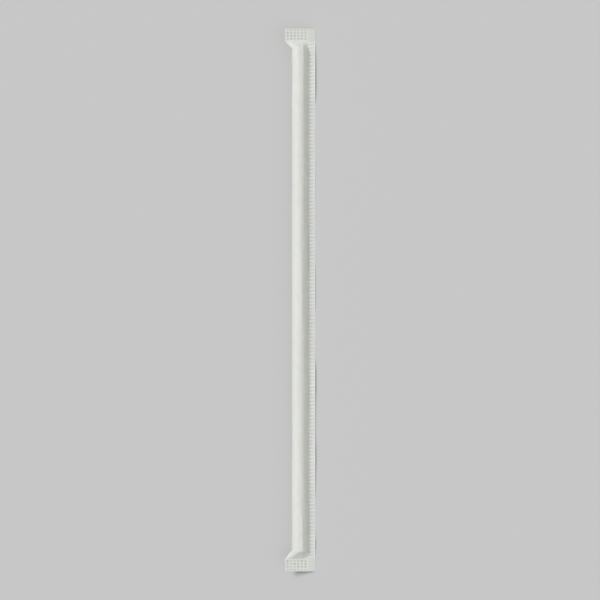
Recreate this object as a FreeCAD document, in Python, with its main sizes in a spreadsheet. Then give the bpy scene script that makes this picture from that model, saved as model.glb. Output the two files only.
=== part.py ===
import FreeCAD, Part
import math
import os
import Sketcher
from FreeCAD import Placement, Rotation, Vector

# A plain drinking straw in its own sealed paper wrapper, in millimetres.
# One sheet of thin paper is folded lengthwise round the straw. Its two long edges are
# pressed together in a ribbed seam that stands out as a flat fin, and both ends are pinched
# flat and pressed with a grid of small pits. Along the straw the paper is a tight sleeve.
# Past each end of the straw it flattens, so it flares out to the width of the flat sheet.
#
# Both pieces are drawn about the straw's axis, X, with the fin in the plane Z = 0 towards +Y.
# They are then rolled together until the sleeve and the edge of the fin lie on the table. The soft
# sleeve has a narrow flat where it lies, so that it doesn't roll off it.

# The driving sizes: name, value, what it measures
SIZES = [
    ("straw_diameter", 6.0, "outside of the plastic tube"),
    ("straw_wall", 0.18, "wall of the plastic tube"),
    ("straw_length", 210.0, "tube, cut square at both ends"),
    ("paper_thickness", 0.06, "one layer of the wrapper"),
    ("paper_clearance", 0.05, "play between the tube and the paper, all round and at its ends"),
    ("seam_standoff", 0.65, "from the tube out to the inner edge of the seam"),
    ("seam_width", 3.0, "fin of two bonded layers along one side"),
    ("end_gap", 4.0, "from the end of the sleeve to the crimp"),
    ("crimp_length", 5.0, "flat pressed band at each end"),
    ("pocket_pinch", 0.1, "last stretch before the crimp, where the two layers have met"),
    ("pocket_slit", 0.04, "height of the pocket where it closes"),
    ("rib_pitch", 1.5, "ribs across the seam, like the rungs of a ladder"),
    ("rib_width", 0.7, "one rib, along the straw"),
    ("rib_height", 0.08, "rib above the fin, and the groove behind it"),
    ("rib_outer_margin", 0.6, "plain edge of the fin beside the ribs"),
    ("rib_inner_margin", 0.2, "plain strip between the ribs and the pocket"),
    ("pit_pitch_across", 1.5, "columns of pits in the crimp"),
    ("pit_pitch_along", 1.25, "rows of pits in the crimp"),
    ("pit_across", 0.75, "one pit, across the straw"),
    ("pit_along", 0.6, "one pit, along the straw"),
    ("pit_depth", 0.06, "pit in the upper face, and the bump behind it"),
    ("pit_margin", 0.3, "least plain border round the grid of pits"),
    ("rest_flat", 0.7, "width of the flat under the sleeve, where it lies on the table"),
]

# Lengths that follow from the sheet, as expressions that the document works out itself
INNER_RADIUS = "(sizes.straw_diameter / 2 + sizes.paper_clearance)"
OUTER_RADIUS = f"({INNER_RADIUS} + sizes.paper_thickness)"
SEAM_ROOT = "(sizes.straw_diameter / 2 + sizes.seam_standoff)"
SEAM_TIP = f"({SEAM_ROOT} + sizes.seam_width)"
FIN_THICKNESS = "(2 * sizes.paper_thickness)"
SLEEVE_END = "(sizes.straw_length / 2 + sizes.paper_clearance)"
CRIMP_START = f"({SLEEVE_END} + sizes.end_gap)"
WRAPPER_END = f"({CRIMP_START} + sizes.crimp_length)"
# The paper doesn't stretch, so the flat pocket is as wide as half the way round inside the sleeve
POCKET_WIDTH = (
    f"(sqrt({SEAM_ROOT} ^ 2 - {INNER_RADIUS} ^ 2)"
    f" + {INNER_RADIUS} * (pi - acos({INNER_RADIUS} / {SEAM_ROOT}) / 1rad))"
)
FOLD_EDGE = f"({POCKET_WIDTH} - {SEAM_ROOT} + sizes.paper_thickness)"
# Where the pocket closes it stays two layers inside the fold edge, which is still slanting outwards there
FOLD_SLANT = f"(({FOLD_EDGE} - {OUTER_RADIUS}) / sizes.end_gap)"
POCKET_FOLD = f"({FOLD_EDGE} - {FIN_THICKNESS} - {FOLD_SLANT} * sizes.pocket_pinch)"

RIB_COUNT = f"floor((2 * {WRAPPER_END} - sizes.rib_width) / sizes.rib_pitch)"
RIB_LENGTH = "(sizes.seam_width - sizes.rib_outer_margin - sizes.rib_inner_margin)"
RIB_FIRST = f"(-({RIB_COUNT} - 1) / 2 * sizes.rib_pitch)"
RIB_MIDDLE = f"({SEAM_TIP} - sizes.rib_outer_margin - {RIB_LENGTH} / 2)"

PIT_FIELD_ACROSS = f"({POCKET_WIDTH} - sizes.pit_across - 2 * sizes.pit_margin)"
PIT_FIELD_ALONG = "(sizes.crimp_length - sizes.pit_along - 2 * sizes.pit_margin)"
PIT_COLUMNS = f"(floor({PIT_FIELD_ACROSS} / sizes.pit_pitch_across) + 1)"
PIT_ROWS = f"(floor({PIT_FIELD_ALONG} / sizes.pit_pitch_along) + 1)"
PIT_FIRST_ACROSS = (
    f"({SEAM_ROOT} - {POCKET_WIDTH} / 2 - ({PIT_COLUMNS} - 1) / 2 * sizes.pit_pitch_across)"
)
PIT_FIRST_ALONG = (
    f"({CRIMP_START} + sizes.crimp_length / 2 - ({PIT_ROWS} - 1) / 2 * sizes.pit_pitch_along)"
)

# The height of the straw's axis over the table
AXIS_HEIGHT = f"sqrt({OUTER_RADIUS} ^ 2 - (sizes.rest_flat / 2) ^ 2)"
# The roll at which the sleeve and the lower edge of the fin touch the table together
ROLL = (
    f"(asin({AXIS_HEIGHT} / sqrt({SEAM_TIP} ^ 2 + sizes.paper_thickness ^ 2))"
    f" - atan(sizes.paper_thickness / {SEAM_TIP}))"
)
# The shift that brings the middle of the rolled outline over the origin
SHIFT = f"(({FOLD_EDGE} - {SEAM_TIP}) / 2 * cos({ROLL}))"

# How a sketch names its own origin, and its horizontal axis
SKETCH_ORIGIN = (-1, 1)
SKETCH_AXIS = -1

doc = FreeCAD.newDocument("WrappedStraw")


def make_sheet():
    sheet = doc.addObject("Spreadsheet::Sheet", "sizes")
    for row, (name, number, meaning) in enumerate(SIZES, start=1):
        sheet.set(f"A{row}", str(number))
        sheet.setAlias(f"A{row}", name)
        sheet.set(f"B{row}", meaning)
    doc.recompute()
    return sheet


sizes = make_sheet()


def now(expression):
    """What an expression comes to at the sheet's present values."""
    return float(sizes.evalExpression(expression))


def origin_part(body, role):
    return next(part for part in body.Origin.OriginFeatures if part.Role == role)


def bind(feature, **expressions):
    for name, expression in expressions.items():
        feature.setExpression(name, expression)


def new_sketch(body, name, plane, **offset):
    """A sketch on one of the body's planes, with its x, y or z in that plane's axes set by expressions."""
    sketch = body.newObject("Sketcher::SketchObject", name)
    sketch.AttachmentSupport = [(origin_part(body, plane), "")]
    sketch.MapMode = "FlatFace"
    for axis, expression in offset.items():
        sketch.setExpression(f"AttachmentOffset.Base.{axis}", expression)
    return sketch


def new_feature(body, kind, name, profile, **expressions):
    feature = body.newObject(f"PartDesign::{kind}", name)
    feature.Profile = profile
    bind(feature, **expressions)
    return feature


def constrain(sketch, kind, *where):
    sketch.addConstraint(Sketcher.Constraint(kind, *where))


def dimension(sketch, name, expression, kind, *where):
    """A named dimension of a sketch that the sheet drives."""
    number = sketch.addConstraint(Sketcher.Constraint(kind, *where, now(expression)))
    sketch.renameConstraint(number, name)
    sketch.setExpression(f"Constraints.{name}", expression)


def measure(sketch, name, edge):
    """A named length of an edge that other sketches read."""
    length = sketch.Geometry[edge].length()
    number = sketch.addConstraint(Sketcher.Constraint("Distance", edge, length))
    sketch.renameConstraint(number, name)
    sketch.setDriving(number, False)


def draw_outline(sketch, edges, smooth=()):
    """A closed outline, each edge joined to the next, with no corner after the edges in smooth."""
    for edge in edges:
        sketch.addGeometry(edge)
    for edge in range(len(edges)):
        joint = "Tangent" if edge in smooth else "Coincident"
        constrain(sketch, joint, edge, 2, (edge + 1) % len(edges), 1)


def below(point):
    """The same point on the other side of the fin's plane."""
    return Vector(point.x, -point.y, 0)


def line(start, end):
    return Part.LineSegment(start, end)


def straight_ring(corners):
    return [line(start, end) for start, end in zip(corners, corners[1:] + corners[:1])]


def arc(start, end):
    """An arc about the straw's axis, anticlockwise."""
    from_angle = math.atan2(start.y, start.x)
    to_angle = math.atan2(end.y, end.x)
    circle = Part.Circle(Vector(0, 0, 0), Vector(0, 0, 1), start.Length)
    return Part.ArcOfCircle(circle, from_angle, to_angle)


def draw_rectangle(sketch, wide, high):
    """A rectangle centred on the sketch's origin."""
    corner = Vector(now(wide) / 2, now(high) / 2, 0)
    ring = [-corner, below(corner), corner, -below(corner)]
    draw_outline(sketch, straight_ring(ring))
    for edge, direction in enumerate(["Horizontal", "Vertical"] * 2):
        constrain(sketch, direction, edge)
    constrain(sketch, "Symmetric", 0, 1, 2, 1, *SKETCH_ORIGIN)
    dimension(sketch, "wide", wide, "DistanceX", 0, 1, 0, 2)
    dimension(sketch, "high", high, "DistanceY", 1, 1, 1, 2)


def flank_direction():
    """The outward normal of the upper flank, which runs from the seam and touches the sleeve."""
    rise = now(INNER_RADIUS) / now(SEAM_ROOT)
    return Vector(rise, math.sqrt(1 - rise**2), 0)


def draw_round_outside(sketch):
    """Outside of the wrapper round the straw: the fin, two flanks, and a sleeve that ends at the fold."""
    layer = now("sizes.paper_thickness")
    radius = now(OUTER_RADIUS)
    normal = flank_direction()
    tip = Vector(now(SEAM_TIP), layer, 0)
    shoulder = Vector((radius - layer * normal.y) / normal.x, layer, 0)
    touch = normal * radius
    fold = Vector(-math.sqrt(radius**2 - layer**2), layer, 0)
    draw_outline(
        sketch,
        [
            line(tip, shoulder),
            line(shoulder, touch),
            arc(touch, fold),
            arc(fold, below(fold)),
            arc(below(fold), below(touch)),
            line(below(touch), below(shoulder)),
            line(below(shoulder), below(tip)),
            line(below(tip), tip),
        ],
        smooth=(1, 4),
    )
    for sleeve_edge in (2, 3, 4):
        constrain(sketch, "Coincident", sleeve_edge, 3, *SKETCH_ORIGIN)
    constrain(sketch, "Horizontal", 0)
    constrain(sketch, "Symmetric", 7, 1, 7, 2, SKETCH_AXIS)
    constrain(sketch, "Symmetric", 0, 2, 6, 1, SKETCH_AXIS)
    dimension(sketch, "fin_thickness", FIN_THICKNESS, "Distance", 7)
    dimension(sketch, "seam_tip", SEAM_TIP, "DistanceX", *SKETCH_ORIGIN, 7, 1)
    dimension(sketch, "outer_radius", OUTER_RADIUS, "Radius", 2)
    dimension(sketch, "fold_above", "sizes.paper_thickness", "DistanceY", *SKETCH_ORIGIN, 3, 1)
    dimension(sketch, "fold_below", "sizes.paper_thickness", "DistanceY", 3, 2, *SKETCH_ORIGIN)
    # The flank lies one layer of paper outside the inner edge of the seam
    root = sketch.addGeometry(Part.Point(Vector(now(SEAM_ROOT), 0, 0)), True)
    constrain(sketch, "PointOnObject", root, 1, SKETCH_AXIS)
    dimension(sketch, "seam_root", SEAM_ROOT, "DistanceX", *SKETCH_ORIGIN, root, 1)
    dimension(sketch, "layer", "sizes.paper_thickness", "Distance", root, 1, 1)
    measure(sketch, "fin_face", 0)
    measure(sketch, "flank", 1)


def draw_flat_outside(sketch, round_name):
    """Outside of the flattened wrapper, with the same eight corners as the round outline."""
    layer = now("sizes.paper_thickness")
    tip = Vector(now(SEAM_TIP), layer, 0)
    shoulder = tip - Vector(now(f"{round_name}.Constraints.fin_face"), 0, 0)
    touch = shoulder - Vector(now(f"{round_name}.Constraints.flank"), 0, 0)
    fold = Vector(-now(FOLD_EDGE), layer, 0)
    top = [tip, shoulder, touch, fold]
    ring = top + [below(point) for point in reversed(top)]
    draw_outline(sketch, straight_ring(ring))
    for level_edge in (0, 1, 2, 4, 5, 6):
        constrain(sketch, "Horizontal", level_edge)
    constrain(sketch, "Vertical", 3)
    constrain(sketch, "Symmetric", 7, 1, 7, 2, SKETCH_AXIS)
    constrain(sketch, "Vertical", 0, 2, 6, 1)
    constrain(sketch, "Vertical", 1, 2, 5, 1)
    dimension(sketch, "fin_thickness", FIN_THICKNESS, "Distance", 7)
    dimension(sketch, "seam_tip", SEAM_TIP, "DistanceX", *SKETCH_ORIGIN, 7, 1)
    dimension(sketch, "fin_face", f"{round_name}.Constraints.fin_face", "Distance", 0)
    dimension(sketch, "flank", f"{round_name}.Constraints.flank", "Distance", 1)
    dimension(sketch, "fold_edge", FOLD_EDGE, "DistanceX", 2, 2, *SKETCH_ORIGIN)


def draw_round_inside(sketch):
    """The pocket round the straw: a tube that draws in to the inner edge of the seam."""
    radius = now(INNER_RADIUS)
    root = Vector(now(SEAM_ROOT), 0, 0)
    touch = flank_direction() * radius
    fold = Vector(-radius, 0, 0)
    draw_outline(
        sketch,
        [
            line(root, touch),
            arc(touch, fold),
            arc(fold, below(touch)),
            line(below(touch), root),
        ],
        smooth=(0, 2),
    )
    for sleeve_edge in (1, 2):
        constrain(sketch, "Coincident", sleeve_edge, 3, *SKETCH_ORIGIN)
    constrain(sketch, "PointOnObject", 0, 1, SKETCH_AXIS)
    constrain(sketch, "PointOnObject", 1, 2, SKETCH_AXIS)
    dimension(sketch, "seam_root", SEAM_ROOT, "DistanceX", *SKETCH_ORIGIN, 0, 1)
    dimension(sketch, "inner_radius", INNER_RADIUS, "Radius", 1)
    measure(sketch, "flank", 0)


def draw_flat_inside(sketch, round_name):
    """The pocket where it closes, with the same four corners as the round one."""
    root = Vector(now(SEAM_ROOT), 0, 0)
    touch = root - Vector(now(f"{round_name}.Constraints.flank"), 0, 0)
    touch.y = now("sizes.pocket_slit") / 2
    fold = Vector(-now(POCKET_FOLD), 0, 0)
    ring = [root, touch, fold, below(touch)]
    draw_outline(sketch, straight_ring(ring))
    constrain(sketch, "PointOnObject", 0, 1, SKETCH_AXIS)
    constrain(sketch, "PointOnObject", 1, 2, SKETCH_AXIS)
    constrain(sketch, "Symmetric", 0, 2, 3, 1, SKETCH_AXIS)
    dimension(sketch, "seam_root", SEAM_ROOT, "DistanceX", *SKETCH_ORIGIN, 0, 1)
    dimension(sketch, "pocket_fold", POCKET_FOLD, "DistanceX", 1, 2, *SKETCH_ORIGIN)
    dimension(sketch, "flank", f"{round_name}.Constraints.flank", "DistanceX", 0, 2, 0, 1)
    dimension(sketch, "slit", "sizes.pocket_slit", "DistanceY", 3, 1, 0, 2)


def make_straw():
    """The straw: one plain thin-walled tube, open at both ends."""
    body = doc.addObject("PartDesign::Body", "straw")
    lay_down(body)
    section = new_sketch(body, "straw_section", "YZ_Plane")
    for ring, radius in enumerate(
        ["sizes.straw_diameter / 2", "(sizes.straw_diameter / 2 - sizes.straw_wall)"]
    ):
        section.addGeometry(Part.Circle(Vector(0, 0, 0), Vector(0, 0, 1), now(radius)))
        constrain(section, "Coincident", ring, 3, *SKETCH_ORIGIN)
        dimension(section, ["outer", "bore"][ring], radius, "Radius", ring)
    tube = new_feature(body, "Pad", "straw_tube", section, Length="sizes.straw_length")
    tube.Midplane = True
    return body


def make_wrapper():
    """The wrapper: one folded sheet, drawn as its outside, then hollowed, then pressed."""
    body = doc.addObject("PartDesign::Body", "paper_wrapper")
    lay_down(body)
    shape_outside(body)
    hollow_pocket(body)
    mirror_ends(body)
    flatten_rest(body)
    press_crimps(body)
    press_seam(body)
    return body


def shape_outside(body):
    """The sleeve with its fin, one flaring end and its flat crimp."""
    round_outside = new_sketch(body, "round_outside", "YZ_Plane", z=SLEEVE_END)
    draw_round_outside(round_outside)
    doc.recompute()
    sleeve = new_feature(body, "Pad", "sleeve", round_outside, Length=f"2 * {SLEEVE_END}")
    sleeve.Reversed = True
    flat_outside = new_sketch(body, "flat_outside", "YZ_Plane", z=CRIMP_START)
    draw_flat_outside(flat_outside, "round_outside")
    doc.recompute()
    flare = new_feature(body, "AdditiveLoft", "flare", round_outside)
    flare.Sections = [flat_outside]
    flare.Ruled = True
    new_feature(body, "Pad", "crimp", flat_outside, Length="sizes.crimp_length")
    doc.recompute()


def hollow_pocket(body):
    """The space that the straw lies in, closing past its end to nothing at the crimp."""
    solid_volume = body.Shape.Volume
    round_inside = new_sketch(body, "round_inside", "YZ_Plane", z=SLEEVE_END)
    draw_round_inside(round_inside)
    doc.recompute()
    new_feature(body, "Pocket", "bore", round_inside, Length=f"2 * {SLEEVE_END}")
    flat_inside = new_sketch(
        body, "flat_inside", "YZ_Plane", z=f"({CRIMP_START} - sizes.pocket_pinch)"
    )
    draw_flat_inside(flat_inside, "round_inside")
    doc.recompute()
    closing = new_feature(body, "SubtractiveLoft", "closing", round_inside)
    closing.Sections = [flat_inside]
    closing.Ruled = True
    doc.recompute()
    if body.Shape.Volume > 0.5 * solid_volume:
        raise RuntimeError("the pocket of the wrapper was not cut")


def mirror_ends(body):
    """The far end is the near one mirrored."""
    ends = body.newObject("PartDesign::Mirrored", "far_end")
    ends.Originals = [doc.getObject(name) for name in ("flare", "crimp", "closing")]
    ends.MirrorPlane = (origin_part(body, "YZ_Plane"), [""])
    body.Tip = ends
    doc.recompute()


def flatten_rest(body):
    """The narrow flat on which the sleeve lies, cut level with the table."""
    middle = f"({AXIS_HEIGHT} + sizes.paper_thickness / 2)"
    outline = new_sketch(
        body, "rest_outline", "YZ_Plane", x=f"sin({ROLL}) * {middle}", y=f"-cos({ROLL}) * {middle}"
    )
    outline.AttachmentOffset = Placement(Vector(0, 0, 0), Rotation(Vector(0, 0, 1), now(ROLL)))
    outline.setExpression("AttachmentOffset.Rotation.Angle", ROLL)
    draw_rectangle(outline, "2 * sizes.rest_flat", "sizes.paper_thickness")
    rest = new_feature(body, "Pocket", "rest", outline, Length=f"2 * {CRIMP_START}")
    rest.Midplane = True
    doc.recompute()


def repeat(pattern, direction, spacing, count):
    """A row of copies along one axis."""
    pattern.Direction = (direction, [""])
    pattern.Mode = "Spacing"
    bind(pattern, Offset=spacing, Occurrences=count)


def press_crimps(body):
    """A grid of pits in the upper face of both crimps, with a bump behind each one."""
    upper = new_sketch(
        body,
        "pit_outline",
        "XY_Plane",
        x=PIT_FIRST_ALONG,
        y=PIT_FIRST_ACROSS,
        z="sizes.paper_thickness",
    )
    draw_rectangle(upper, "sizes.pit_along", "sizes.pit_across")
    pit = new_feature(body, "Pocket", "pit", upper, Length="sizes.pit_depth")
    lower = new_sketch(
        body,
        "bump_outline",
        "XY_Plane",
        x=PIT_FIRST_ALONG,
        y=PIT_FIRST_ACROSS,
        z="-sizes.paper_thickness",
    )
    draw_rectangle(lower, "sizes.pit_along", "sizes.pit_across")
    bump = new_feature(body, "Pad", "bump", lower, Length="sizes.pit_depth")
    bump.Reversed = True
    pits = body.newObject("PartDesign::MultiTransform", "pits")
    pits.Originals = [pit, bump]
    columns = body.newObject("PartDesign::LinearPattern", "pit_columns")
    repeat(columns, origin_part(body, "Y_Axis"), "sizes.pit_pitch_across", PIT_COLUMNS)
    rows = body.newObject("PartDesign::LinearPattern", "pit_rows")
    repeat(rows, origin_part(body, "X_Axis"), "sizes.pit_pitch_along", PIT_ROWS)
    both_ends = body.newObject("PartDesign::Mirrored", "pit_ends")
    both_ends.MirrorPlane = (origin_part(body, "YZ_Plane"), [""])
    pits.Transformations = [columns, rows, both_ends]
    body.Tip = pits
    doc.recompute()


def press_seam(body):
    """Ribs that stand up from the fin, with a groove behind each one, all along the seam."""
    upper = new_sketch(
        body, "rib_outline", "XY_Plane", x=RIB_FIRST, y=RIB_MIDDLE, z="sizes.paper_thickness"
    )
    draw_rectangle(upper, "sizes.rib_width", RIB_LENGTH)
    rib = new_feature(body, "Pad", "rib", upper, Length="sizes.rib_height")
    lower = new_sketch(
        body, "groove_outline", "XY_Plane", x=RIB_FIRST, y=RIB_MIDDLE, z="-sizes.paper_thickness"
    )
    draw_rectangle(lower, "sizes.rib_width", RIB_LENGTH)
    groove = new_feature(body, "Pocket", "groove", lower, Length="sizes.rib_height")
    groove.Reversed = True
    ribs = body.newObject("PartDesign::LinearPattern", "ribs")
    ribs.Originals = [rib, groove]
    repeat(ribs, origin_part(body, "X_Axis"), "sizes.rib_pitch", RIB_COUNT)
    body.Tip = ribs
    doc.recompute()


def lay_down(body):
    """Rolls a body about the straw's axis until the wrapper rests, and lifts it onto the table."""
    body.Placement = Placement(Vector(0, 0, 0), Rotation(Vector(-1, 0, 0), now(ROLL)))
    body.setExpression("Placement.Rotation.Angle", ROLL)
    body.setExpression("Placement.Base.y", SHIFT)
    body.setExpression("Placement.Base.z", AXIS_HEIGHT)


def check_document():
    for item in doc.Objects:
        if {"Invalid", "Error"} & set(item.State):
            raise RuntimeError(f"{item.Name} did not compute: {item.State}")


def write_step(body):
    shape = body.Shape
    if shape.isNull() or not shape.isValid() or len(shape.Solids) != 1:
        raise RuntimeError(f"{body.Label} is not one valid solid")
    shape.exportStep(f"parts/{body.Label}.step")
    print(f"{body.Label}: {shape.Volume:.2f} mm3, {len(shape.Faces)} faces, {shape.BoundBox}")


pieces = [make_straw(), make_wrapper()]
doc.recompute()
check_document()
os.makedirs("parts", exist_ok=True)
for piece in pieces:
    write_step(piece)
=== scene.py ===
import math

import bpy
import numpy as np
from mathutils import Matrix, Vector


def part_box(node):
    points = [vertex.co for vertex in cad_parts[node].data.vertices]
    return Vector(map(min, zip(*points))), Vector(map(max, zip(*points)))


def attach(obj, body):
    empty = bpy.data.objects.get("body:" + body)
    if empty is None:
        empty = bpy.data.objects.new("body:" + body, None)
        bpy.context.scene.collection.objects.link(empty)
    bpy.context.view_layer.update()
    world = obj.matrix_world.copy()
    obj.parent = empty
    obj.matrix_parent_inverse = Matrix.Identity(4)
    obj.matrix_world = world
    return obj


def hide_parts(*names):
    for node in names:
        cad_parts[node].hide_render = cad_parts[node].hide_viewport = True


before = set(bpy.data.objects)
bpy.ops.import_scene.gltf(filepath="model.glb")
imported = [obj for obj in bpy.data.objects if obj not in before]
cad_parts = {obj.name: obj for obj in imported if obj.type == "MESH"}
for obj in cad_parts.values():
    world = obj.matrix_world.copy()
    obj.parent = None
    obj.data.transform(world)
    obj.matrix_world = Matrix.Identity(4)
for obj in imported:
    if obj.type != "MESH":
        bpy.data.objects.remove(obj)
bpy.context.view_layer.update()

# A drinking straw sealed in a paper wrapper. All lengths are in metres.
MM = 0.001

# The straw and the paper round it
STRAW_RADIUS = 3.0 * MM
STRAW_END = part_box("straw")[1].x
PLAY = 0.05 * MM
LAYER = 0.06 * MM
INNER_RADIUS = STRAW_RADIUS + PLAY
OUTER_RADIUS = INNER_RADIUS + LAYER

# The seam, the crimps and the flare between the straw and a crimp
SEAM_ROOT = STRAW_RADIUS + 0.65 * MM
SEAM_WIDTH = 3.0 * MM
SEAM_TIP = SEAM_ROOT + SEAM_WIDTH
WRAPPER_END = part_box("paper_wrapper")[1].x
CRIMP_LENGTH = 5.0 * MM
CRIMP_START = WRAPPER_END - CRIMP_LENGTH
SLEEVE_END = STRAW_END + PLAY
GAP = CRIMP_START - SLEEVE_END
FLARE_FROM_RIM = 0.15 * MM
FLARE_FROM_CRIMP = 0.3 * MM
FLARE_CORNER = 0.2 * MM

# Half of the sheet beside the seam: a straight flank, and then the curve round the straw
FLANK_ANGLE = math.asin(INNER_RADIUS / SEAM_ROOT)
FLANK = math.sqrt(SEAM_ROOT**2 - INNER_RADIUS**2)
POCKET = FLANK + INNER_RADIUS * (FLANK_ANGLE + math.pi / 2)
HALF_SHEET = SEAM_WIDTH + POCKET

# The way round the folded sheet starts at the free edge of the seam's upper layer, crosses the fin, follows
# the upper half of the pocket to the fold, and comes back along the lower half to the lower free edge
AROUND = 2 * HALF_SHEET + LAYER

# The pressed patterns
RIB_PITCH = 1.5 * MM
RIB_WIDTH = 0.7 * MM
RIB_HEIGHT = 0.08 * MM
RIB_FROM_EDGE = 0.6 * MM
RIB_FROM_POCKET = 0.2 * MM
RIB_COUNT = math.floor((2 * WRAPPER_END - RIB_WIDTH) / RIB_PITCH)
RIB_FLATTENING = 0.6
PIT_PITCH_ACROSS = 1.5 * MM
PIT_PITCH_ALONG = 1.25 * MM
PIT_ACROSS = 0.75 * MM
PIT_ALONG = 0.6 * MM
PIT_DEPTH = 0.06 * MM
PIT_COLUMNS = 6
PIT_ROWS = 4
PIT_MIDDLE_ACROSS = SEAM_WIDTH + POCKET / 2
PIT_MIDDLE_ALONG = CRIMP_START + CRIMP_LENGTH / 2
LAST_ROW_FADING = 0.4
PRESS_SLOPE = 0.06 * MM
PRESS_SEED = 7

# The bends round the straw are softened by a mean of sections: shares of the reach, and weights
BEND_REACH = 0.14 * MM
BEND_WEIGHTS = {-1.0: 0.1, -0.6: 0.24, 0.0: 0.32, 0.6: 0.24, 1.0: 0.1}

# Long soft ridges of the loose sleeve: way round, height and half width, in millimetres
SOFT_RIDGES = [
    (5.4, 0.22, 0.38),
    (7.2, 0.15, 0.42),
    (9.6, 0.11, 0.5),
    (11.6, 0.18, 0.36),
    (15.1, 0.14, 0.5),
    (19.4, 0.18, 0.4),
]
RIDGE_SWAY = 0.9 * MM
FOLD_CREASE_HEIGHT = 0.14 * MM
FOLD_CREASE_WIDTH = 0.17 * MM
PATCH_HEIGHT = 0.08 * MM

# Wrinkles near the rim of the straw: way from the free edge, slant, reach and height, in millimetres
WRINKLES = [
    (5.2, 0.22, 9.0, 0.13),
    (6.9, -0.16, 6.0, 0.10),
    (8.2, 0.30, 5.0, 0.12),
    (9.9, -0.24, 11.0, 0.12),
    (11.9, 0.10, 7.0, 0.10),
]
WRINKLE_WIDTH = 0.26 * MM
WRINKLE_SWAY = 0.25 * MM

# Creases from the rim of the straw to the crimp: shares of the pocket's width, and height in millimetres
FLARE_CREASES = [
    (0.45, 0.88, 0.18),
    (0.43, 0.10, 0.15),
    (0.63, 0.99, -0.08),
    (0.30, 0.30, 0.10),
    (0.52, 0.62, 0.10),
]
FLARE_CREASE_WIDTH = 0.27 * MM

# Short creases scattered along the sleeve, and small pleats along the inner edges of the crimps
STRAY_CREASES = 26
STRAY_CREASE_WIDTH = 0.25 * MM
CRIMP_PLEATS = 34
PLEAT_WIDTH = 0.14 * MM

# The fin waves along the sleeve, and curls up beside the rim of the straw
FIN_WAVE_HEIGHT = 0.5 * MM
FIN_WAVES_FADE = (96 * MM, 104 * MM)
FIN_CURL_HEIGHT = 0.34 * MM
FIN_CURL_PLACE = 102.5 * MM
FIN_CURL_REACH = 3.6 * MM

# How far the crimp's corner at the fold bends up, at the near end (+X) and at the far end (-X)
NEAR_CRIMP_BEND = -0.55 * MM
FAR_CRIMP_BEND = 0.28 * MM

# How far the free edge of the upper layer falls short of the lower one's
EDGE_STEP = 0.27 * MM
EDGE_STEP_SWAY = 0.1 * MM

# The mesh is finer from a little before the rim of the straw to the cut end
END_PIECE_START = SLEEVE_END - 1.5 * MM
WAY_SPACING = 0.24 * MM
ROW_SPACING = 0.12 * MM
LEAST_ROW_SPACING = 0.04 * MM

# The skin inside the pocket: points round, rows along the sleeve and each flare, and its tuck past the rim
SKIN_WAYS = 44
SKIN_SLEEVE_ROWS = 150
SKIN_FLARE_ROWS = 12
SKIN_TUCK = 0.12 * MM

# How the wrapped straw lies: rolled until a flat of the sleeve and the edge of the fin touch the floor
REST_FLAT = 0.7 * MM
AXIS_HEIGHT = math.sqrt(OUTER_RADIUS**2 - (REST_FLAT / 2) ** 2)
ROLL = math.asin(AXIS_HEIGHT / math.hypot(SEAM_TIP, LAYER)) - math.atan(LAYER / SEAM_TIP)
FOLD_EDGE = POCKET - SEAM_ROOT + LAYER
AXIS_SIDE = (FOLD_EDGE - SEAM_TIP) / 2 * math.cos(ROLL)
FIN_OUT = Vector((0, math.cos(ROLL), -math.sin(ROLL)))
FIN_UP = Vector((0, math.sin(ROLL), math.cos(ROLL)))

# Colours of the paper where it is thin and where it is thick; where it is pressed: darker and greener in
# the crimps, painted shade in the seam's ground between the ribs and in the pits, and a painted highlight
# on the ribs; and against the light
PAPER_THIN = (0.75, 0.765, 0.72, 1)
PAPER_THICK = (0.88, 0.89, 0.86, 1)
PAPER_IN_CRIMP = (0.70, 0.72, 0.665, 1)
SEAM_GROUND_PAINTED_SHADE = (0.67, 0.685, 0.64, 1)
PIT_PAINTED_SHADE = (0.50, 0.52, 0.48, 1)
RIB_PAINTED_HIGHLIGHT = (0.90, 0.91, 0.885, 1)
PAPER_GLOW = (0.8, 0.81, 0.78, 1)
GLOW_SHARE = 0.12

# Colours of the plastic and of the surroundings
PLASTIC_DARK = (0.80, 0.81, 0.80, 1)
PLASTIC_PALE = (0.87, 0.88, 0.87, 1)
FLOOR_COLOUR = (0.54, 0.545, 0.54, 1)
BACKDROP_COLOUR = (0.573, 0.577, 0.573, 1)
SKY_COLOUR = (1, 1, 1, 1)
SKY_STRENGTH = 0.4

# The picture: half of the floor's side, the lens, and the share of the picture's height that is filled
FLOOR_HALF = 4.0
LENS = 85
FILLED_SHARE = 0.905


def smooth_step(low, high, value):
    """0 below low, 1 above high, and a soft curve between."""
    part = np.clip((value - low) / (high - low), 0, 1)
    return part * part * (3 - 2 * part)


def soft_ramp(value, radius):
    """max(value, 0) with its corner rounded."""
    bend = (np.clip(value, -radius, radius) + radius) ** 2 / (4 * radius)
    return np.where(value > radius, value, bend)


def bell(distance, width):
    """1 at a distance of 0, falling softly to nearly 0 at two widths."""
    return np.exp(-((distance / width) ** 2))


def fold_line(distance, width):
    """The section of a crease: a narrow ridge with a crisp top, about 1 high."""
    crispness, top_radius, to_full_height = 1.4, 0.2, 1.32
    from_top = np.sqrt((distance / width) ** 2 + top_radius**2)
    return np.exp(-from_top * crispness) * to_full_height


def waves(position, spacing, seed):
    """Smooth seeded noise from -1 to 1 along one line, with a new value every spacing."""
    count = 4096
    values = np.random.default_rng(seed).uniform(-1, 1, count)
    place = position / spacing + count / 2
    index = np.floor(place).astype(int)
    part = smooth_step(0, 1, place - index)
    return values[index] * (1 - part) + values[index + 1] * part


# The form of the folded sheet


def from_free_edge(way):
    """How far a way round is from the free edge of its own layer."""
    return np.minimum(way, AROUND - way)


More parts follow.
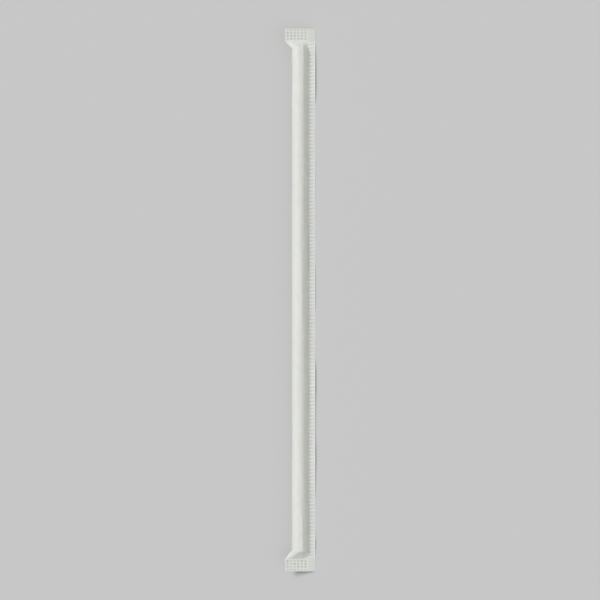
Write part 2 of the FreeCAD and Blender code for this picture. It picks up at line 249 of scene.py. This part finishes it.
def upper_section(way):
    """The middle of the upper layer, as it is round the straw and as it is pressed flat."""
    way = np.minimum(way, HALF_SHEET)
    past_root = way - SEAM_WIDTH
    radius = INNER_RADIUS + LAYER / 2
    turn = math.pi / 2 - FLANK_ANGLE + np.maximum(past_root - FLANK, 0) / INNER_RADIUS
    on_flank = np.clip(past_root, 0, FLANK)
    flank_y = SEAM_ROOT - on_flank * math.cos(FLANK_ANGLE) + LAYER / 2 * math.sin(FLANK_ANGLE)
    flank_z = on_flank * math.sin(FLANK_ANGLE) + LAYER / 2 * math.cos(FLANK_ANGLE)
    flat_y = SEAM_TIP - way
    flat_z = np.full_like(way, LAYER / 2)
    on_fin_or_round = [past_root < 0, past_root > FLANK]
    round_y = np.select(on_fin_or_round, [flat_y, radius * np.cos(turn)], flank_y)
    round_z = np.select(on_fin_or_round, [flat_z, radius * np.sin(turn)], flank_z)
    return round_y, round_z, flat_y, flat_z


def flatness(along):
    """0 round the straw, 1 in the crimp, with soft corners at both ends of the flare."""
    past_start = np.abs(along) - SLEEVE_END - FLARE_FROM_RIM
    length = GAP - FLARE_FROM_RIM - FLARE_FROM_CRIMP
    return (soft_ramp(past_start, FLARE_CORNER) - soft_ramp(past_start - length, FLARE_CORNER)) / length


def crisp_middle(along, way):
    """The middle of the paper in the straw's own axes: across towards the seam, and up."""
    from_edge = from_free_edge(way)
    round_y, round_z, flat_y, flat_z = upper_section(from_edge)
    flat = flatness(along)
    fold = np.clip((from_edge - HALF_SHEET) / (LAYER / 2), 0, 1)
    side = np.where(way > AROUND / 2, -1.0, 1.0) * (1 - fold)
    y = round_y * (1 - flat) + flat_y * flat
    z = (round_z * (1 - flat) + flat_z * flat) * side
    return y, z


def paper_middle(along, way):
    """The same, with every bend round the straw given a small radius."""
    total_y, total_z = 0.0, 0.0
    for offset, weight in BEND_WEIGHTS.items():
        y, z = crisp_middle(along, way + offset * BEND_REACH)
        total_y = total_y + weight * y
        total_z = total_z + weight * z
    return total_y, total_z


def slack(along, way):
    """How far the paper stands off the straw: soft ridges, the crease of the fold, and broad patches."""
    on_pocket = smooth_step(0.2 * MM, 1.2 * MM, from_free_edge(way) - SEAM_WIDTH)
    rise = 0.0
    for number, (place, height, width) in enumerate(SOFT_RIDGES):
        centre = place * MM + RIDGE_SWAY * waves(along, spacing=34 * MM, seed=10 + number)
        strength = np.clip(0.3 + waves(along, spacing=19 * MM, seed=20 + number), 0, 1)
        rise = rise + height * MM * strength * bell(way - centre, width * MM)
    crease = FOLD_CREASE_HEIGHT * bell(way - AROUND / 2, FOLD_CREASE_WIDTH)
    crease = crease * (0.7 + 0.3 * waves(along, spacing=15 * MM, seed=33))
    patch = waves(along + 3.0 * way, spacing=9 * MM, seed=31)
    patch = patch * waves(way * 2.3 + along * 0.2, spacing=4 * MM, seed=32)
    return (rise + crease + PATCH_HEIGHT * np.abs(patch)) * on_pocket


def sleeve_wrinkles(along, way):
    """Short slanting wrinkles that run from the rim of the straw back along the sleeve."""
    inward = SLEEVE_END - np.abs(along)
    shown = smooth_step(0.1 * MM, 0.8 * MM, inward)
    sway = WRINKLE_SWAY * waves(along, spacing=3 * MM, seed=61)
    lower_shift = np.where(way > AROUND / 2, 0.7, 0.0) * MM
    end_shift = np.where(along > 0, 0.5, 0.0) * MM
    rise = 0.0
    for place, slope, reach, height in WRINKLES:
        centre = place * MM + lower_shift + end_shift + slope * inward + sway
        fade = 1 - smooth_step(0.3 * reach * MM, reach * MM, inward)
        rise = rise + height * MM * fade * fold_line(from_free_edge(way) - centre, WRINKLE_WIDTH)
    return rise * shown


def stray_creases(along, way):
    """Short slanting creases scattered over the sleeve, as handling leaves them."""
    chance = np.random.default_rng(seed=71)
    margin = SEAM_WIDTH + 1.4 * MM
    rise = 0.0
    for _ in range(STRAY_CREASES):
        middle = chance.uniform(-0.9, 0.9) * SLEEVE_END
        middle_way = chance.uniform(margin, AROUND - margin)
        slant = chance.choice([-1, 1]) * chance.uniform(0.15, 0.75)
        reach = chance.uniform(1.5, 4.5) * MM
        height = chance.uniform(0.06, 0.13) * MM
        run = (along - middle) * math.cos(slant) + (way - middle_way) * math.sin(slant)
        aside = (way - middle_way) * math.cos(slant) - (along - middle) * math.sin(slant)
        rise = rise + height * fold_line(aside, STRAY_CREASE_WIDTH) * bell(run, reach)
    return rise


def end_creases(along, way):
    """Ridges that fan from the rim of the straw to the corners of the crimp."""
    part = np.clip((np.abs(along) - SLEEVE_END) / GAP, 0, 1)
    across = from_free_edge(way) - SEAM_WIDTH
    shown = smooth_step(0.0, 0.25, part) * (1 - smooth_step(0.75, 1.0, part))
    end_shift = np.where(along > 0, 0.035, -0.03)
    rise = 0.0
    for at_rim, at_crimp, height in FLARE_CREASES:
        centre = (at_rim + end_shift + (at_crimp - at_rim) * part) * POCKET
        rise = rise + height * MM * fold_line(across - centre, FLARE_CREASE_WIDTH)
    return rise * shown


def crimp_pleats(along, way):
    """Short pleats that the crimping bars gather, from the edge of each crimp into the flare."""
    chance = np.random.default_rng(seed=83)
    before = CRIMP_START - np.abs(along)
    shown = smooth_step(-0.3 * MM, 0.05 * MM, before)
    across = from_free_edge(way) - SEAM_WIDTH
    layer_and_end = 2 * (along > 0) + (way > AROUND / 2)
    rise = 0.0
    for _ in range(CRIMP_PLEATS):
        here = layer_and_end == chance.integers(4)
        centre = chance.uniform(0.06, 0.94) * POCKET
        lean = chance.uniform(-0.6, 0.6)
        reach = chance.uniform(0.5, 1.6) * MM
        height = chance.uniform(0.03, 0.09) * MM
        ridge = fold_line(across - centre - lean * before, PLEAT_WIDTH) * bell(before, reach)
        rise = rise + height * ridge * here
    return rise * shown


def lift(along, way):
    """How far the whole thickness is bent up out of the plane of the fin."""
    from_edge = from_free_edge(way)
    wave = np.clip(waves(along, spacing=11 * MM, seed=41) + 0.25, 0, 1) ** 1.3
    wave = wave * (1 - smooth_step(*FIN_WAVES_FADE, np.abs(along)))
    curl = bell(np.abs(along) - FIN_CURL_PLACE, FIN_CURL_REACH)
    on_fin = np.clip(1 - from_edge / SEAM_WIDTH, 0, 1) ** 1.4
    past_rim = np.clip((np.abs(along) - SLEEVE_END) / (GAP + CRIMP_LENGTH), 0, 1)
    across = np.clip(from_edge / HALF_SHEET, 0, 1)
    bend = np.where(along > 0, NEAR_CRIMP_BEND, FAR_CRIMP_BEND) * past_rim**2 * across**1.5
    return (FIN_WAVE_HEIGHT * wave + FIN_CURL_HEIGHT * curl) * on_fin + bend


def paper_points(along, way):
    """Outer face, inner face and place on the sheet of a grid of points."""
    along, way = np.meshgrid(along, way, indexing="ij")
    y, z = paper_middle(along, way)
    middle = np.stack([along, y, z + lift(along, way)], axis=-1)
    normal = np.cross(np.gradient(middle, axis=1), np.gradient(middle, axis=0))
    least_length = 1e-12
    normal /= np.maximum(np.linalg.norm(normal, axis=-1, keepdims=True), least_length)
    round_share = 1 - flatness(along)
    off = slack(along, way) + sleeve_wrinkles(along, way) + stray_creases(along, way)
    off = off * round_share + end_creases(along, way) + crimp_pleats(along, way)
    tuck = SKIN_TUCK * smooth_step(0, 0.8 * MM, np.abs(along) - SLEEVE_END) * round_share
    outer = middle + normal * (LAYER / 2 + off)[..., None]
    inner = middle - normal * (LAYER / 2 + tuck)[..., None]
    sheet = np.stack([along, from_free_edge(way), way], axis=-1)
    return outer, inner, sheet


def to_frame(points):
    """From the straw's own axes to the part's, never below the floor."""
    along, across, up = np.moveaxis(points, -1, 0)
    y = across * FIN_OUT.y + up * FIN_UP.y + AXIS_SIDE
    z = across * FIN_OUT.z + up * FIN_UP.z + AXIS_HEIGHT
    return np.stack([along, y, np.maximum(z, 0.0)], axis=-1)


# The stations of the mesh


def merged(values, least):
    """Sorted values, without those closer than least to the one before."""
    kept = []
    for value in sorted(values):
        if not kept or value - kept[-1] >= least:
            kept.append(value)
    return kept


def filled(values, most):
    """The same sorted values, with more put in evenly where two are further apart than most."""
    full = [values[0]]
    for value in values[1:]:
        steps = math.ceil((value - full[-1]) / most)
        full += np.linspace(full[-1], value, steps + 1)[1:].tolist()
    return full


def centred(count, pitch, middle=0.0):
    """The centres of a row of copies on both sides of its middle."""
    return [middle + (copy - (count - 1) / 2) * pitch for copy in range(count)]


def pressed_edges(width):
    """Half of the level top of a pressed shape, and half of the shape with its slopes."""
    return width / 2 - PRESS_SLOPE, width / 2 + PRESS_SLOPE


def ring_ways(fine):
    """The ways of one ring: out along the upper layer and back along the lower one."""
    bend = 0.06 * MM
    stations = [0.0, 0.3 * MM, 1.2 * MM, 1.7 * MM, 2.2 * MM, SEAM_WIDTH - bend, SEAM_WIDTH + bend]
    for edge in (RIB_FROM_EDGE, SEAM_WIDTH - RIB_FROM_POCKET):
        stations += [edge - PRESS_SLOPE, edge + PRESS_SLOPE]
    plateau, rim = pressed_edges(PIT_ACROSS)
    offsets = [-PIT_PITCH_ACROSS / 2, -plateau, 0.0, plateau]
    if fine:
        offsets += [-rim, rim]
    for centre in centred(PIT_COLUMNS, PIT_PITCH_ACROSS, PIT_MIDDLE_ACROSS):
        stations += [centre + offset for offset in offsets]
    pits_end = PIT_MIDDLE_ACROSS + PIT_COLUMNS / 2 * PIT_PITCH_ACROSS
    stations = sorted([*stations, pits_end, HALF_SHEET - 2 * bend, HALF_SHEET])
    upper = filled(stations, WAY_SPACING) if fine else stations
    return upper + [AROUND - way for way in reversed(upper)]


def rib_rows(start, end):
    """Distances along the straw at which the ribs and the ground between them bend."""
    plateau, rim = pressed_edges(RIB_WIDTH)
    rows = []
    for centre in centred(RIB_COUNT, RIB_PITCH):
        rows += [centre - RIB_PITCH / 2, centre - rim, centre - plateau, centre + plateau, centre + rim]
    return [row for row in rows if start < row < end]


def end_rows():
    """Distances along the straw, from just before its rim to the end of the paper."""
    rows = filled([END_PIECE_START, SLEEVE_END, CRIMP_START], ROW_SPACING) + [WRAPPER_END]
    plateau, rim = pressed_edges(PIT_ALONG)
    for centre in centred(PIT_ROWS, PIT_PITCH_ALONG, PIT_MIDDLE_ALONG):
        rows += [centre - rim, centre - plateau, centre, centre + plateau, centre + rim]
    clear = 0.05 * MM
    rows += rib_rows(END_PIECE_START + clear, WRAPPER_END - clear)
    return merged(rows, LEAST_ROW_SPACING)


class MeshParts:
    """Points and faces gathered for one mesh, with each point's place on the sheet."""

    def __init__(self):
        self.points, self.places, self.faces = [], [], []

    def add_rings(self, points, places, inward=False):
        """Adds closed rings of points and the faces between them, and gives the points' numbers."""
        start = len(self.points)
        self.points.extend(points.reshape(-1, 3).tolist())
        self.places.extend(places.reshape(-1, 3).tolist())
        grid = start + np.arange(points.size // 3).reshape(points.shape[:-1])
        following = np.roll(grid, -1, axis=1)
        first, second, third, fourth = grid[:-1], following[:-1], following[1:], grid[1:]
        corners = [first, fourth, third, second] if inward else [first, second, third, fourth]
        self.faces.extend(np.stack(corners, axis=-1).reshape(-1, 4).tolist())
        return grid

    def make(self, name):
        mesh = bpy.data.meshes.new(name)
        mesh.from_pydata(self.points, [], self.faces)
        sheet = mesh.attributes.new("sheet", "FLOAT_VECTOR", "POINT")
        sheet.data.foreach_set("vector", np.array(self.places).ravel())
        mesh.update()
        thing = bpy.data.objects.new(name, mesh)
        bpy.context.scene.collection.objects.link(thing)
        return thing


def outer_rings(parts, rows, fine):
    """Rings of the outer face, closed at the free edges by the step between the two layers."""
    rows = np.array(rows)
    ways = np.array(ring_ways(fine))
    outer, inner, sheet = paper_points(rows, ways)
    inset = EDGE_STEP + EDGE_STEP_SWAY * waves(rows, spacing=11 * MM, seed=51)
    near_edge = np.clip(1 - ways / (0.5 * MM), 0, 1)
    outer[:, :, 1] -= inset[:, None] * near_edge[None, :]
    step_low = np.stack([rows, inner[:, -1, 1], inner[:, -1, 2]], axis=-1)
    step_top = np.stack([rows, outer[:, 0, 1], inner[:, -1, 2]], axis=-1)
    ring = np.concatenate([outer, step_low[:, None], step_top[:, None]], axis=1)
    places = np.concatenate([sheet, sheet[:, -1:], sheet[:, :1]], axis=1)
    return parts.add_rings(to_frame(ring), places)


def stitch(parts, coarse_ring, fine_ring, forward):
    """Faces between a coarse ring and a fine one, which has a point at each station of the coarse one."""
    fine_ways = np.array(ring_ways(fine=True))
    at = [int(np.argmin(np.abs(fine_ways - way))) for way in ring_ways(fine=False)]
    # Both rings end with the two points of the step
    at += [len(fine_ways), len(fine_ways) + 1]
    for corner, start in enumerate(at):
        following = (corner + 1) % len(at)
        last = at[following] if following else len(fine_ring)
        run = [int(fine_ring[place % len(fine_ring)]) for place in range(start, last + 1)]
        face = [int(coarse_ring[corner]), int(coarse_ring[following])] + run[::-1]
        parts.faces.append(face if forward else face[::-1])


def pocket_skin(parts):
    """The inner face of the pocket, a closed skin inside the outer one."""
    margin = SEAM_WIDTH + 0.05 * MM
    ways = np.linspace(margin, AROUND - margin, SKIN_WAYS)
    reach = CRIMP_START - 0.25 * MM
    rows = np.concatenate(
        [
            np.linspace(-reach, -SLEEVE_END, SKIN_FLARE_ROWS)[:-1],
            np.linspace(-SLEEVE_END, SLEEVE_END, SKIN_SLEEVE_ROWS),
            np.linspace(SLEEVE_END, reach, SKIN_FLARE_ROWS)[1:],
        ]
    )
    _, inner, sheet = paper_points(rows, ways)
    grid = parts.add_rings(to_frame(inner), sheet, inward=True)
    parts.faces.append(grid[0].tolist())
    parts.faces.append(grid[-1][::-1].tolist())


def build_paper():
    """The whole sheet: the sleeve, a finer piece at each end, and the skin inside the pocket."""
    parts = MeshParts()
    sleeve_reach = END_PIECE_START - 0.1 * MM
    near_rows = end_rows()
    far_rows = [-row for row in reversed(near_rows)]
    sleeve = outer_rings(parts, rib_rows(-sleeve_reach, sleeve_reach), fine=False)
    near = outer_rings(parts, near_rows, fine=True)
    far = outer_rings(parts, far_rows, fine=True)
    stitch(parts, sleeve[-1], near[0], forward=True)
    stitch(parts, sleeve[0], far[-1], forward=False)
    # The cut ends
    parts.faces.append(near[-1].tolist())
    parts.faces.append(far[0][::-1].tolist())
    pocket_skin(parts)
    return parts.make("paper_wrapper_sheet")


class Field:
    """One socket of a node tree, so that sums on fields read as sums."""

    def __init__(self, tree, socket):
        self.tree, self.socket = tree, socket

    def maths(self, operation, *others, clamp=False):
        settings = {"operation": operation, "use_clamp": clamp}
        return new_node(self.tree, "ShaderNodeMath", settings, dict(enumerate([self, *others])))

    def __add__(self, other):
        return self.maths("ADD", other)

    def __sub__(self, other):
        return self.maths("SUBTRACT", other)

    def __mul__(self, other):
        return self.maths("MULTIPLY", other)

    def __truediv__(self, other):
        return self.maths("DIVIDE", other)

    def __rsub__(self, other):
        return (self * -1.0) + other

    __radd__ = __add__
    __rmul__ = __mul__

    def least(self, other):
        return self.maths("MINIMUM", other)

    def most(self, other):
        return self.maths("MAXIMUM", other)

    def size(self):
        return self.maths("ABSOLUTE")

    def whole(self):
        return self.maths("ROUND")

    def clamped(self):
        """The field held between 0 and 1."""
        return self.maths("MULTIPLY", 1.0, clamp=True)

    def beyond(self, edge, slope):
        """0 below the edge and 1 above it, with a slope about it."""
        return ((self - edge) / slope + 0.5).clamped()

    def within(self, half, slope):
        """1 where the field is nearer to 0 than half, falling to 0 over a slope each side of it."""
        return ((half - self.size()) / slope * 0.5 + 0.5).clamped()


def plug(tree, socket, value):
    """Gives a socket a link, or its own value."""
    if isinstance(value, Field):
        tree.links.new(value.socket, socket)
    else:
        socket.default_value = value


def new_node(tree, kind, settings=(), inputs=(), output=0):
    """A node of one type, with its settings made first and then its sockets. Gives one of its outputs."""
    node = tree.nodes.new(kind)
    for name, value in dict(settings).items():
        setattr(node, name, value)
    for name, value in dict(inputs).items():
        plug(tree, node.inputs[name], value)
    return Field(tree, node.outputs[output]) if node.outputs else None


def sheet_parts(tree, place):
    """Two parts of a place on the sheet: the distance along the straw, and that from the free edge."""
    return [new_node(tree, "ShaderNodeSeparateXYZ", inputs={0: place}, output=part) for part in (0, 1)]


def group_inputs(tree):
    """Names and fills in the inputs of the pressing tree, and gives a field for each."""
    numbers = {
        "Rib Pitch": RIB_PITCH,
        "Rib Width": RIB_WIDTH,
        "Rib Height": RIB_HEIGHT,
        "Rib Count": RIB_COUNT,
        "Rib Start": RIB_FROM_EDGE,
        "Rib Stop": SEAM_WIDTH - RIB_FROM_POCKET,
        "Pit Pitch Across": PIT_PITCH_ACROSS,
        "Pit Pitch Along": PIT_PITCH_ALONG,
        "Pit Across": PIT_ACROSS,
        "Pit Along": PIT_ALONG,
        "Pit Depth": PIT_DEPTH,
        "Pit Columns": PIT_COLUMNS,
        "Pit Rows": PIT_ROWS,
        "Pit Middle Across": PIT_MIDDLE_ACROSS,
        "Pit Middle Along": PIT_MIDDLE_ALONG,
        "Slope": PRESS_SLOPE,
        "Crimp Start": CRIMP_START,
        "Rib Flattening": RIB_FLATTENING,
        "Last Row Fading": LAST_ROW_FADING,
    }
    wanted = [(name, "NodeSocketFloat", value) for name, value in numbers.items()]
    wanted += [("Up", "NodeSocketVector", FIN_UP), ("Seed", "NodeSocketInt", PRESS_SEED)]
    tree.interface.new_socket("Geometry", in_out="INPUT", socket_type="NodeSocketGeometry")
    for name, kind, value in wanted:
        tree.interface.new_socket(name, in_out="INPUT", socket_type=kind).default_value = value
    names = ["Geometry"] + [name for name, _, _ in wanted]
    return {name: new_node(tree, "NodeGroupInput", output=name) for name in names}


def pressing_tree(material):
    """Presses ribs into the seam and pits into the crimps of a sheet that knows its own places."""
    tree = bpy.data.node_groups.new("pressed_patterns", "GeometryNodeTree")
    tree.interface.new_socket("Geometry", in_out="OUTPUT", socket_type="NodeSocketGeometry")
    given = group_inputs(tree)
    stored = {"Name": "sheet"}
    place = new_node(tree, "GeometryNodeInputNamedAttribute", {"data_type": "FLOAT_VECTOR"}, stored)
    along, from_edge = sheet_parts(tree, place)

    def repeated(position, pitch, count):
        """Distance to the nearest of a centred row of copies, and that copy's place in the row."""
        half = (count - 1.0) * 0.5
        nearest = (position / pitch + half).whole().most(0.0).least(count - 1.0)
        return position - (nearest - half) * pitch, nearest

    def varied(copy, low, high, offset):
        """A random number for each copy. Sockets 2 and 3 hold the bounds of a float."""
        inputs = {2: low, 3: high, "ID": copy, "Seed": given["Seed"] + offset}
        return new_node(tree, "FunctionNodeRandomValue", {"data_type": "FLOAT"}, inputs, output=1)

    # Ribs, pressed flatter inside the crimps
    slope = given["Slope"]
    rib_off, rib = repeated(along, given["Rib Pitch"], given["Rib Count"])
    rib_length = given["Rib Stop"] - given["Rib Start"]
    rib_across = from_edge - (given["Rib Start"] + given["Rib Stop"]) * 0.5
    rib_mask = rib_off.within(given["Rib Width"] * 0.5, slope)
    rib_mask = rib_mask * rib_across.within(rib_length * 0.5, slope)
    in_crimp = along.size().beyond(given["Crimp Start"], slope * 6.0)
    rib_mask = rib_mask * varied(rib, low=0.7, high=1.15, offset=0)
    rib_mask = rib_mask * (1.0 - in_crimp * given["Rib Flattening"])

    # Pits, fainter in the outermost row
    from_row = along.size() - given["Pit Middle Along"]
    from_column = from_edge - given["Pit Middle Across"]
    row_off, row = repeated(from_row, given["Pit Pitch Along"], given["Pit Rows"])
    column_off, column = repeated(from_column, given["Pit Pitch Across"], given["Pit Columns"])
    pit_mask = row_off.within(given["Pit Along"] * 0.5, slope)
    pit_mask = pit_mask * column_off.within(given["Pit Across"] * 0.5, slope)
    pit_number = row * 10.0 + column + along.maths("SIGN") * 100.0
    faint = (row - (given["Pit Rows"] - 2.0)).most(0.0) * given["Last Row Fading"]
    pit_mask = pit_mask * varied(pit_number, low=0.6, high=1.2, offset=1) * (1.0 - faint)

    # The attribute for the material is above 0 in the pits and below 0 on the ribs; from it the material
    # paints shade in the pits and a highlight on the ribs
    rise = rib_mask * given["Rib Height"] - pit_mask * given["Pit Depth"]
    move = new_node(
        tree, "ShaderNodeVectorMath", {"operation": "SCALE"}, {0: given["Up"], "Scale": rise}
    )
    moved = new_node(
        tree, "GeometryNodeSetPosition", inputs={"Geometry": given["Geometry"], "Offset": move}
    )
    marked = new_node(
        tree,
        "GeometryNodeStoreNamedAttribute",
        {"data_type": "FLOAT", "domain": "POINT"},
        {"Geometry": moved, "Name": "pressed", "Value": rib_mask * -0.6 + pit_mask},
    )
    real = new_node(tree, "GeometryNodeRealizeInstances", inputs={"Geometry": marked})
    dressed = new_node(tree, "GeometryNodeSetMaterial", inputs={"Geometry": real, "Material": material})
    new_node(tree, "NodeGroupOutput", inputs={0: dressed})
    return tree


def press(thing, material):
    """Runs the pressing tree over the sheet and keeps the result as a plain mesh."""
    modifier = thing.modifiers.new("pressed_patterns", "NODES")
    modifier.node_group = pressing_tree(material)
    view_layer = bpy.context.evaluated_depsgraph_get()
    mesh = bpy.data.meshes.new_from_object(
        thing.evaluated_get(view_layer), preserve_all_data_layers=True, depsgraph=view_layer
    )
    thing.modifiers.remove(modifier)
    thing.data = mesh
    mesh.name = thing.name
    mesh.polygons.foreach_set("use_smooth", [True] * len(mesh.polygons))
    mesh.set_sharp_from_angle(angle=math.radians(50))
    return thing


def new_material(name):
    """A material with an empty node tree."""
    material = bpy.data.materials.new(name)
    material.use_nodes = True
    tree = material.node_tree
    tree.nodes.clear()
    return material, tree


def noise(tree, place, scales, detail, roughness):
    """Noise with a scale of its own on each axis, so that it can be drawn out."""
    scaled = new_node(tree, "ShaderNodeVectorMath", {"operation": "MULTIPLY"}, {0: place, 1: scales})
    return new_node(
        tree,
        "ShaderNodeTexNoise",
        {"noise_dimensions": "3D"},
        {"Vector": scaled, "Scale": 1.0, "Detail": detail, "Roughness": roughness},
    )


def mixed(tree, factor, first, second):
    """A colour between two. Sockets 6 and 7 hold the colours, and output 2 gives the mix."""
    inputs = {0: factor, 6: first, 7: second}
    return new_node(tree, "ShaderNodeMix", {"data_type": "RGBA"}, inputs, output=2)


def straw_paper():
    """Thin white tissue: faint fibres along its length, cloudy where it is held to the light."""
    material, tree = new_material("straw_paper")
    place = new_node(tree, "ShaderNodeTexCoord", output="Object")
    pressed = new_node(tree, "ShaderNodeAttribute", {"attribute_name": "pressed"}, output="Fac")
    stored = new_node(tree, "ShaderNodeAttribute", {"attribute_name": "sheet"}, output="Vector")
    along, from_edge = sheet_parts(tree, stored)

    # Where the paper is pressed; the seam's ground between the ribs and the pits take painted shade, and
    # the raised ribs a painted highlight
    crimp = along.size().beyond(CRIMP_START, 0.5 * MM)
    seam_middle = (RIB_FROM_EDGE + SEAM_WIDTH - RIB_FROM_POCKET) / 2
    seam_half = (SEAM_WIDTH - RIB_FROM_EDGE - RIB_FROM_POCKET) / 2
    seam = (from_edge - seam_middle).within(seam_half, PRESS_SLOPE)
    pit = pressed.most(0.0)
    rib = (pressed * -1.0).most(0.0)

    # How the paper varies
    clouds = noise(tree, place, (420.0, 420.0, 420.0), detail=4.0, roughness=0.6) - 0.5
    streaks = noise(tree, place, (90.0, 1500.0, 1500.0), detail=3.0, roughness=0.6) - 0.5
    fibres = noise(tree, place, (1600.0, 7000.0, 7000.0), detail=2.0, roughness=0.5) - 0.5

    tone = (clouds * 0.9 + streaks * 0.7 + 0.5).clamped()
    colour = mixed(tree, tone, PAPER_THIN, PAPER_THICK)
    # Painted shade in the seam's ground and the pits, a painted highlight on the ribs, and a darker,
    # greener tone in the crimps
    for mask, share, pressed_colour in (
        (crimp, 0.4, PAPER_IN_CRIMP),
        (seam, 0.6, SEAM_GROUND_PAINTED_SHADE),
        # painted shade in the recessed pits
        (pit, 0.85, PIT_PAINTED_SHADE),
        (rib, 1.2, RIB_PAINTED_HIGHLIGHT),
    ):
        colour = mixed(tree, mask * share, colour, pressed_colour)
    height = fibres * 0.5 + streaks * 0.8 + clouds * 0.6
    bump = {"Strength": 0.6, "Distance": 0.08 * MM, "Height": height}
    surface = {
        "Base Color": colour,
        "Roughness": 0.62 - rib * 0.12 - pit * 0.1 + clouds * 0.2,
        "Specular IOR Level": 0.35,
        "Normal": new_node(tree, "ShaderNodeBump", inputs=bump),
    }
    face = new_node(tree, "ShaderNodeBsdfPrincipled", inputs=surface)
    glow = new_node(tree, "ShaderNodeBsdfTranslucent", inputs={"Color": PAPER_GLOW})
    both = new_node(tree, "ShaderNodeMixShader", inputs={0: GLOW_SHARE, 1: face, 2: glow})
    new_node(tree, "ShaderNodeOutputMaterial", inputs={"Surface": both})
    return material


def straw_plastic():
    """White extruded plastic, smooth, with faint draw lines."""
    material, tree = new_material("straw_plastic")
    place = new_node(tree, "ShaderNodeTexCoord", output="Object")
    lines = noise(tree, place, (12.0, 2600.0, 2600.0), detail=2.0, roughness=0.5)
    bump = {"Strength": 0.15, "Distance": 0.03 * MM, "Height": lines}
    surface = {
        "Base Color": mixed(tree, lines, PLASTIC_DARK, PLASTIC_PALE),
        "Roughness": 0.25 + lines * 0.1,
        "Normal": new_node(tree, "ShaderNodeBump", inputs=bump),
    }
    face = new_node(tree, "ShaderNodeBsdfPrincipled", inputs=surface)
    new_node(tree, "ShaderNodeOutputMaterial", inputs={"Surface": face})
    return material


def plain_floor():
    """A wide pale table top, which is no part of the object."""
    material, tree = new_material("pale_floor")
    surface = {"Base Color": FLOOR_COLOUR, "Roughness": 0.85, "Specular IOR Level": 0.2}
    face = new_node(tree, "ShaderNodeBsdfPrincipled", inputs=surface)
    new_node(tree, "ShaderNodeOutputMaterial", inputs={"Surface": face})
    half = FLOOR_HALF
    corners = [(-half, -half, 0), (half, -half, 0), (half, half, 0), (-half, half, 0)]
    mesh = bpy.data.meshes.new("floor")
    mesh.from_pydata(corners, [], [(0, 1, 2, 3)])
    mesh.materials.append(material)
    floor = bpy.data.objects.new("floor", mesh)
    bpy.context.scene.collection.objects.link(floor)


def soft_lamp(name, direction, strength, spread):
    """Even light from one direction, with soft shadows. The strength is what it adds on a white face."""
    lamp = bpy.data.lights.new(name, "SUN")
    lamp.energy = strength * math.pi
    lamp.angle = math.radians(spread)
    thing = bpy.data.objects.new(name, lamp)
    thing.rotation_euler = direction.to_track_quat("Z", "Y").to_euler()
    bpy.context.scene.collection.objects.link(thing)


def studio():
    """Soft light from the upper left of the picture, a weaker one from the right, and a pale sky."""
    from_left = FIN_UP * 0.75 - FIN_OUT * 0.75 - Vector((0.45, 0, 0))
    from_right = FIN_UP * 0.9 + FIN_OUT * 0.5 + Vector((0.4, 0, 0))
    soft_lamp("key_lamp", from_left, strength=0.64, spread=28)
    soft_lamp("fill_lamp", from_right, strength=0.16, spread=60)
    world = bpy.data.worlds.new("studio")
    world.use_nodes = True
    tree = world.node_tree
    tree.nodes.clear()
    seen = new_node(tree, "ShaderNodeLightPath", output="Is Camera Ray")
    sky, backdrop = (
        new_node(tree, "ShaderNodeBackground", inputs={"Color": colour, "Strength": strength})
        for colour, strength in ((SKY_COLOUR, SKY_STRENGTH), (BACKDROP_COLOUR, 1.0))
    )
    both = new_node(tree, "ShaderNodeMixShader", inputs={0: seen, 1: sky, 2: backdrop})
    new_node(tree, "ShaderNodeOutputWorld", inputs={"Surface": both})
    bpy.context.scene.world = world


def picture():
    """The camera looks straight at the face of the fin, with the straw upright in the picture."""
    camera = bpy.data.cameras.new("camera")
    camera.lens = LENS
    camera.clip_start = 0.01
    thing = bpy.data.objects.new("camera", camera)
    bpy.context.scene.collection.objects.link(thing)
    distance = (WRAPPER_END / FILLED_SHARE) / (camera.sensor_width / 2 / camera.lens)
    middle = Vector((0, 0, AXIS_HEIGHT))
    upright = Vector((-1, 0, 0))
    across = upright.cross(FIN_UP)
    turn = Matrix((across, upright, FIN_UP)).transposed().to_4x4()
    thing.matrix_world = Matrix.Translation(middle + FIN_UP * distance) @ turn
    bpy.context.scene.camera = thing


paper = straw_paper()
plastic = straw_plastic()

sheet = press(build_paper(), paper)
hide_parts("paper_wrapper")
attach(sheet, "root")

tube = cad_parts["straw"]
tube.data.materials.clear()
tube.data.materials.append(plastic)

plain_floor()
studio()
picture()
bpy.context.scene.view_settings.view_transform = "Standard"
